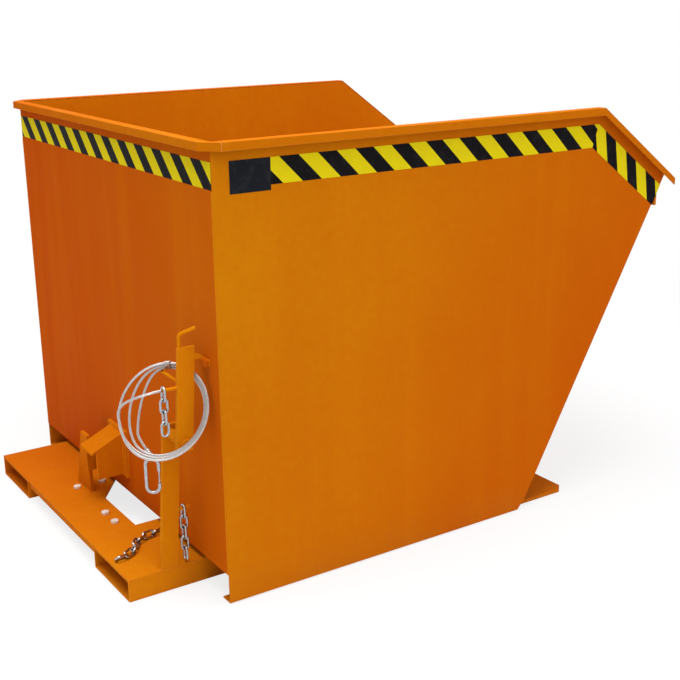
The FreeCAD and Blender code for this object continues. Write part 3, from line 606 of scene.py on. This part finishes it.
# Pressed ferrule: a sleeve on the rope's end with crimp grooves round it.
FERRULE_START = Vector(TAIL[-1])
FERRULE_WAY = Vector((0.40, -0.45, -0.80)).normalized()
FERRULE_LENGTH = 20.0
FERRULE_RADIUS = 5.5
FERRULE_NECK = 4.4
NECK_LENGTH = 1.6
CRIMPS = 3
CRIMP_DEPTH = 0.7
CRIMP_POWER = 4
FERRULE_RINGS = 48
FERRULE_CORNERS = 28


def ferrule():
    centres = []
    radii = []
    for i in range(FERRULE_RINGS + 1):
        share = i / FERRULE_RINGS
        to_end = min(share, 1 - share) * FERRULE_LENGTH
        rounding = min(1.0, to_end / NECK_LENGTH)
        shoulder = math.sqrt(1 - (1 - rounding) ** 2)
        groove = 0.0
        if rounding == 1.0:
            groove = max(0.0, math.cos(FULL_CIRCLE * CRIMPS * share)) ** CRIMP_POWER
        radius = FERRULE_NECK + (FERRULE_RADIUS - FERRULE_NECK) * shoulder - CRIMP_DEPTH * groove
        centres.append(in_frame(FERRULE_START + FERRULE_WAY * (FERRULE_LENGTH * share)))
        radii.append(radius * MM)
    ways = [FERRULE_WAY] * len(centres)
    mesh = bmesh.new()
    add_tube(mesh, centres, ways, carried_sides(ways), radii, FERRULE_CORNERS)
    piece = new_piece("pressed_ferrule", mesh, "lever", "ferrule_aluminium", MATERIALS["ferrule_aluminium"])
    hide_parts("rope_ferrule")
    return piece


# Binding wire wound round the three strands beside the hanger.
TIE_AT = 0.316
TIE_NEAR = 0.01
TIE_WIRE = 1.4
TIE_SLACK = 1.5
TIE_WRAPS = 5
TIE_PITCH = 2.6
TIE_POINTS = 32
TIE_CORNERS = 8


def rope_tie():
    middle = coil_point(TIE_AT + 1)
    way = (coil_point(TIE_AT + 1 + TIE_NEAR) - coil_point(TIE_AT + 1 - TIE_NEAR)).normalized()
    across = coil_point(TIE_AT + 2) - coil_point(TIE_AT)
    across = across - way * across.dot(way)
    half = across.length / 2
    across.normalize()
    out = way.cross(across)
    reach = ROPE_DIAMETER / 2 + TIE_WIRE
    points = []
    for i in range(TIE_WRAPS * TIE_POINTS + 1):
        turn = i / TIE_POINTS
        angle = FULL_CIRCLE * turn
        side = across * (math.cos(angle) * (half + reach)) + out * (math.sin(angle) * (reach + TIE_SLACK))
        points.append(in_frame(middle + side + way * ((turn - TIE_WRAPS / 2) * TIE_PITCH)))
    ways = headings(points)
    mesh = bmesh.new()
    add_tube(mesh, points, ways, carried_sides(ways), [TIE_WIRE * MM] * len(points), TIE_CORNERS)
    return new_piece("rope_tie", mesh, "lever", "wire_rope", MATERIALS["wire_rope"])


wire_rope([ferrule(), nodes["snap_hook"], nodes["snap_hook_gate"], rope_tie()])

# Weld beads: rippled seams where the sheets and plates meet, worked out from the nodes' boxes.
BEAD_RADIUS = {
    "floor": 2.5, "lip": 3.0, "keeper": 2.0, "catch_plate": 2.6, "tongue": 2.4, "wall": 2.0, "corner": 3.0,
    "chute": 3.2, "lug": 3.0, "foot": 2.8, "deck": 1.4, "front": 3.5, "peg": 1.5,
}
BEAD_STEP = 2.0
BEAD_PITCH = 8.0
BEAD_RIPPLE = 0.22
BEAD_CORNERS = 8
# A bead stops short of a plate's end, further from a corner that beads share, and above a lower edge.
END_GAP = 2
CORNER_GAP = 4
FOOT_GAP = 3
LIP_SEAM_DROP = 6
POST_DEPTH = 45
POST_EDGE = 1
PEG_RADIUS = 4
PEG_BEAD_RING = 4.2
RING_POINTS = 24
WALL_LOW, WALL_HIGH = node_box("back_wall")
CHUTE_LOW, CHUTE_HIGH = node_box("chute_sheet")
INNER = WALL_HIGH.y
GAUGE = WALL_HIGH.x
FLOOR_TOP = node_box("floor_sheet")[1].z
CHUTE_SLOPE = (CHUTE_HIGH.z - FLOOR_TOP) / (CHUTE_HIGH.x - CHUTE_LOW.x)
CHUTE_DROP = GAUGE * math.sqrt(1 + CHUTE_SLOPE ** 2)


def around(low, high):
    # The corners of a rectangle, back to the first.
    return [(low[0], low[1]), (high[0], low[1]), (high[0], high[1]), (low[0], high[1]), (low[0], low[1])]


def wall_outline(name):
    # Where a node's box stands on the back wall's outer face.
    low, high = node_box(name)
    return [(0, y, z) for y, z in around(low.yz, high.yz)]


def foot_outline(name):
    # Where a node's box stands on what is under it.
    low, high = node_box(name)
    return [(x, y, low.z) for x, y in around(low.xy, high.xy)]


def peg_ring(centre, first, second):
    angles = [FULL_CIRCLE * k / RING_POINTS for k in range(RING_POINTS + 1)]
    return [Vector(centre) + (first * math.cos(a) + second * math.sin(a)) * PEG_BEAD_RING for a in angles]


def under_chute(x):
    return FLOOR_TOP - CHUTE_DROP + (x - CHUTE_LOW.x) * CHUTE_SLOPE


def trough_seams():
    lip_low, lip_high = node_box("pouring_lip_bar")
    lip_z = lip_high.z - LIP_SEAM_DROP
    low, high = node_box("catch_tongue")
    tongue = [(high.x, low.y, low.z), (high.x, low.y, high.z),
              (high.x, high.y, high.z), (high.x, high.y, low.z)]
    seams = [("floor", [(GAUGE, -INNER, FLOOR_TOP), (GAUGE, INNER, FLOOR_TOP)]),
             ("lip", [(lip_low.x, -INNER, lip_z), (lip_low.x, INNER, lip_z)]),
             ("keeper", wall_outline("latch_keeper")),
             ("catch_plate", wall_outline("catch_wall_plate")),
             ("tongue", tongue)]
    tape_bottom = node_box("hazard_tape_rear")[0].z
    lug_low, lug_high = node_box("axle_lug_left")
    lug_ends = (lug_low.x + END_GAP, lug_high.x - END_GAP)
    for side in (-1, 1):
        y = side * INNER
        seams += [("wall", [(0, y, WALL_LOW.z + FOOT_GAP), (0, y, tape_bottom - CORNER_GAP)]),
                  ("corner", [(GAUGE, y, FLOOR_TOP + CORNER_GAP), (GAUGE, y, WALL_HIGH.z - END_GAP)]),
                  ("chute", [(GAUGE + CORNER_GAP, y, FLOOR_TOP), (CHUTE_LOW.x, y, FLOOR_TOP),
                             (CHUTE_HIGH.x - CORNER_GAP, y, CHUTE_HIGH.z - FOOT_GAP)])]
        for face in (lug_low.y, lug_high.y):
            seams.append(("lug", [(x, side * face, under_chute(x)) for x in lug_ends]))
    return seams


def post_seam():
    low, high = node_box("latch_post")
    front = low.x + POST_DEPTH
    near = low.y + POST_EDGE
    return [(front, near, low.z), (front, high.y, low.z), (low.x, high.y, low.z), (low.x, near, low.z)]


def base_seams():
    low, high = node_box("chain_anchor_peg")
    peg = (low.x, (low.y + high.y) / 2, (low.z + high.z) / 2)
    seams = [("foot", post_seam()),
             ("foot", foot_outline("catch_upright")),
             ("peg", peg_ring(peg, Y_AXIS, Z_AXIS))]
    deck_low, deck_high = node_box("rear_deck_plate")
    deck_ends = (deck_low.x + CORNER_GAP, deck_high.x - END_GAP)
    pocket_low, pocket_high = node_box("fork_pocket_left")
    pocket_sides = (pocket_low.y + END_GAP, pocket_high.y - END_GAP)
    plate_low, plate_high = node_box("front_cross_plate")
    bearing_low, bearing_high = node_box("axle_bearing_left")
    bearing_ends = (bearing_low.x + END_GAP, bearing_high.x - END_GAP)
    tube_low, tube_high = node_box("middle_cross_tube")
    tube_ends = (tube_low.z + FOOT_GAP, tube_high.z - END_GAP)
    for side in (-1, 1):
        seams += [("deck", [(x, side * pocket_high.y, pocket_high.z) for x in deck_ends]),
                  ("front", [(plate_low.x, side * y, plate_high.z) for y in pocket_sides])]
        for face in (bearing_low.y, bearing_high.y):
            seams.append(("foot", [(x, side * face, bearing_low.z) for x in bearing_ends]))
        for face in (tube_low.x, tube_high.x):
            seams.append(("foot", [(face, side * tube_high.y, z) for z in tube_ends]))
    return seams


def lever_seams():
    low, high = node_box("chain_peg")
    chain_peg = (high.x, (low.y + high.y) / 2, (low.z + high.z) / 2)
    low, high = node_box("rope_hanger_peg")
    hanger = (high.x - PEG_RADIUS, low.y, low.z + PEG_RADIUS)
    low, high = node_box("lever_handle_rod")
    handle = (low.x + PEG_RADIUS, high.y - PEG_RADIUS, low.z)
    return [("peg", peg_ring(chain_peg, Y_AXIS, Z_AXIS)),
            ("peg", peg_ring(hanger, X_AXIS, Z_AXIS)),
            ("peg", peg_ring(handle, X_AXIS, Y_AXIS))]


def weld_beads(name, body, seams):
    mesh = bmesh.new()
    for kind, corners in seams:
        line = [in_frame(point) for point in corners]
        centres, ways, step = along(line, BEAD_STEP * MM)
        radii = []
        for i in range(len(centres)):
            ripple = abs(math.sin(math.pi * i * step / (BEAD_PITCH * MM)))
            radii.append(BEAD_RADIUS[kind] * MM * (1 - BEAD_RIPPLE * ripple))
        add_tube(mesh, centres, ways, carried_sides(ways), radii, BEAD_CORNERS)
    new_piece(name, mesh, body, "orange_paint", PAINTS[PAINT_OF_BODY[body]])


weld_beads("trough_welds", "trough", trough_seams())
weld_beads("base_welds", "base", base_seams())
weld_beads("lever_welds", "lever", lever_seams())

# Hazard tape: the solids' own bands, parted along slanted lines into yellow and black. On the sides the band
# bends at a mitre, from its upper corner to its foot, and then runs down the slope.
STRIPE_PITCH = 100.8
STRIPE_SHARE = 0.5
SIDE_STRIPE_START = 166
SLOPE_STRIPE_START = 32
REAR_STRIPE_START = 598
BEND = Vector((1141, 0, 1048))
BEND_FOOT = Vector((1120.5, 0, 988))
SLOPE_WAY = Vector((285, 0, -210)).normalized()
CUT_DISTANCE = 1e-6


def cut(mesh, faces, place, normal):
    # Parts the faces along a plane, and returns the faces on both sides of it.
    geometry = list(faces)
    geometry += list({edge for face in faces for edge in face.edges})
    geometry += list({vertex for face in faces for vertex in face.verts})
    parted = bmesh.ops.bisect_plane(mesh, geom=geometry, dist=CUT_DISTANCE, plane_co=place, plane_no=normal)
    return {item for item in parted["geom"] if isinstance(item, bmesh.types.BMFace)}


def stripe_faces(mesh, faces, start, way, down):
    # Parts the faces along stripe edges that lean by as much as they drop, and colours each stripe.
    lean = (way - down).normalized()
    pitch = STRIPE_PITCH * MM
    scale = way.dot(lean)
    reach = [(vertex.co - start).dot(lean) / scale for face in faces for vertex in face.verts]
    first = math.floor(min(reach) / pitch) - 1
    last = math.ceil(max(reach) / pitch) + 1
    striped = set(faces)
    for index in range(first, last + 1):
        for offset in (0.0, STRIPE_SHARE):
            striped = cut(mesh, striped, start + way * ((index + offset) * pitch), lean)
    for face in striped:
        turn = (face.calc_center_median() - start).dot(lean) / scale / pitch
        face.material_index = 1 if turn - math.floor(turn) < STRIPE_SHARE else 0


def tape_piece(node, stripe):
    mesh = bmesh.new()
    mesh.from_mesh(nodes[node].data)
    bmesh.ops.remove_doubles(mesh, verts=mesh.verts, dist=JOIN_DISTANCE)
    stripe(mesh)
    piece = new_piece(node + "_striped", mesh, "trough", "hazard_tape", MATERIALS["hazard_tape"], TAPE_BLACK)
    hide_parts(node)


def side_stripes(mesh):
    bend = in_frame(BEND)
    mitre = (BEND - BEND_FOOT).cross(Y_AXIS).normalized()
    cut(mesh, mesh.faces, bend, mitre)
    ahead = []
    behind = []
    for face in mesh.faces:
        past_bend = (face.calc_center_median() - bend).dot(mitre) * mitre.x > 0
        (ahead if past_bend else behind).append(face)
    start = in_frame((SIDE_STRIPE_START, 0, BEND.z))
    stripe_faces(mesh, behind, start, X_AXIS, -Z_AXIS)
    slope_down = Y_AXIS.cross(SLOPE_WAY)
    if slope_down.z > 0:
        slope_down = -slope_down
    stripe_faces(mesh, ahead, bend + SLOPE_WAY * (SLOPE_STRIPE_START * MM), SLOPE_WAY, slope_down)


def rear_stripes(mesh):
    start = in_frame((0, REAR_STRIPE_START, BEND.z))
    stripe_faces(mesh, list(mesh.faces), start, -Y_AXIS, -Z_AXIS)


tape_piece("hazard_tape_right", side_stripes)
tape_piece("hazard_tape_left", side_stripes)
tape_piece("hazard_tape_rear", rear_stripes)

# Studio: a pale floor and soft light. Each lamp is its place, size and power.
FLOOR_SIZE = 80.0
FLOOR_COLOUR = (0.92, 0.92, 0.92, 1.0)
FLOOR_ROUGH = 0.9
FLOOR_SPECULAR = 0.1
WHITE = (1.0, 1.0, 1.0, 1.0)
NEAR_WHITE = 0.78
SHADOW_REACH = 1.5
WHITE_REACH = 3.2
WORLD_WAY = (0.8, -0.6, 0.0)
WORLD_DIM = 0.38
WORLD_BRIGHT = 0.74
LAMPS = {
    "key": ((0.6, -3.6, 3.9), 3.2, 30.0),
    "top": ((-1.0, -0.6, 4.8), 3.5, 235.0),
}
LAMP_AIM = Vector((0.0, 0.0, 0.5))


def add_shown(tree):
    # 1 for what is seen, straight, in a mirror or through glass, and 0 for the light on the object.
    rays = tree.nodes.new("ShaderNodeLightPath")
    shown = rays.outputs["Is Camera Ray"]
    for name in ("Is Glossy Ray", "Is Transmission Ray"):
        shown = add_math(tree, "MAXIMUM", shown, rays.outputs[name])
    return shown


def make_floor():
    data = bpy.data.meshes.new("floor")
    half = FLOOR_SIZE / 2
    corners = [(-half, -half, 0), (half, -half, 0), (half, half, 0), (-half, half, 0)]
    data.from_pydata(corners, [], [range(len(corners))])
    floor = bpy.data.objects.new("floor", data)
    scene.collection.objects.link(floor)
    material, tree, shader = new_material("floor")
    shader.inputs["Base Color"].default_value = FLOOR_COLOUR
    shader.inputs["Roughness"].default_value = FLOOR_ROUGH
    shader.inputs["Specular IOR Level"].default_value = FLOOR_SPECULAR
    # Away from the object the floor turns to plain white, so that no horizon shows.
    where = tree.nodes.new("ShaderNodeTexCoord")
    distance = tree.nodes.new("ShaderNodeVectorMath")
    distance.operation = "LENGTH"
    tree.links.new(where.outputs["Object"], distance.inputs[0])
    far = add_range(tree, distance.outputs["Value"], NEAR_WHITE, 1.0, SHADOW_REACH, WHITE_REACH)
    shown = add_math(tree, "MULTIPLY", far, add_shown(tree))
    white = tree.nodes.new("ShaderNodeEmission")
    white.inputs["Color"].default_value = WHITE
    mix = tree.nodes.new("ShaderNodeMixShader")
    tree.links.new(shown, mix.inputs["Fac"])
    tree.links.new(shader.outputs["BSDF"], mix.inputs[1])
    tree.links.new(white.outputs["Emission"], mix.inputs[2])
    tree.links.new(mix.outputs["Shader"], tree.nodes["Material Output"].inputs["Surface"])
    dress(floor, material)


def make_world():
    # The light comes more from the near side and the front than from behind; what is seen is white.
    world = bpy.data.worlds.new("studio")
    world.use_nodes = True
    tree = world.node_tree
    background = tree.nodes["Background"]
    background.inputs["Color"].default_value = WHITE
    facing = add_slope(tree, WORLD_WAY, -1.0, 1.0, "Generated")
    light = add_share(tree, facing, WORLD_DIM, WORLD_BRIGHT)
    level = add_math(tree, "MAXIMUM", light, add_shown(tree))
    tree.links.new(level, background.inputs["Strength"])
    scene.world = world


def make_lamps():
    for name, (place, size, power) in LAMPS.items():
        data = bpy.data.lights.new(name, "AREA")
        data.size = size
        data.energy = power
        lamp = bpy.data.objects.new(name, data)
        lamp.location = place
        lamp.rotation_mode = "QUATERNION"
        lamp.rotation_quaternion = (LAMP_AIM - Vector(place)).to_track_quat("-Z", "Y")
        scene.collection.objects.link(lamp)


make_floor()
make_world()
make_lamps()
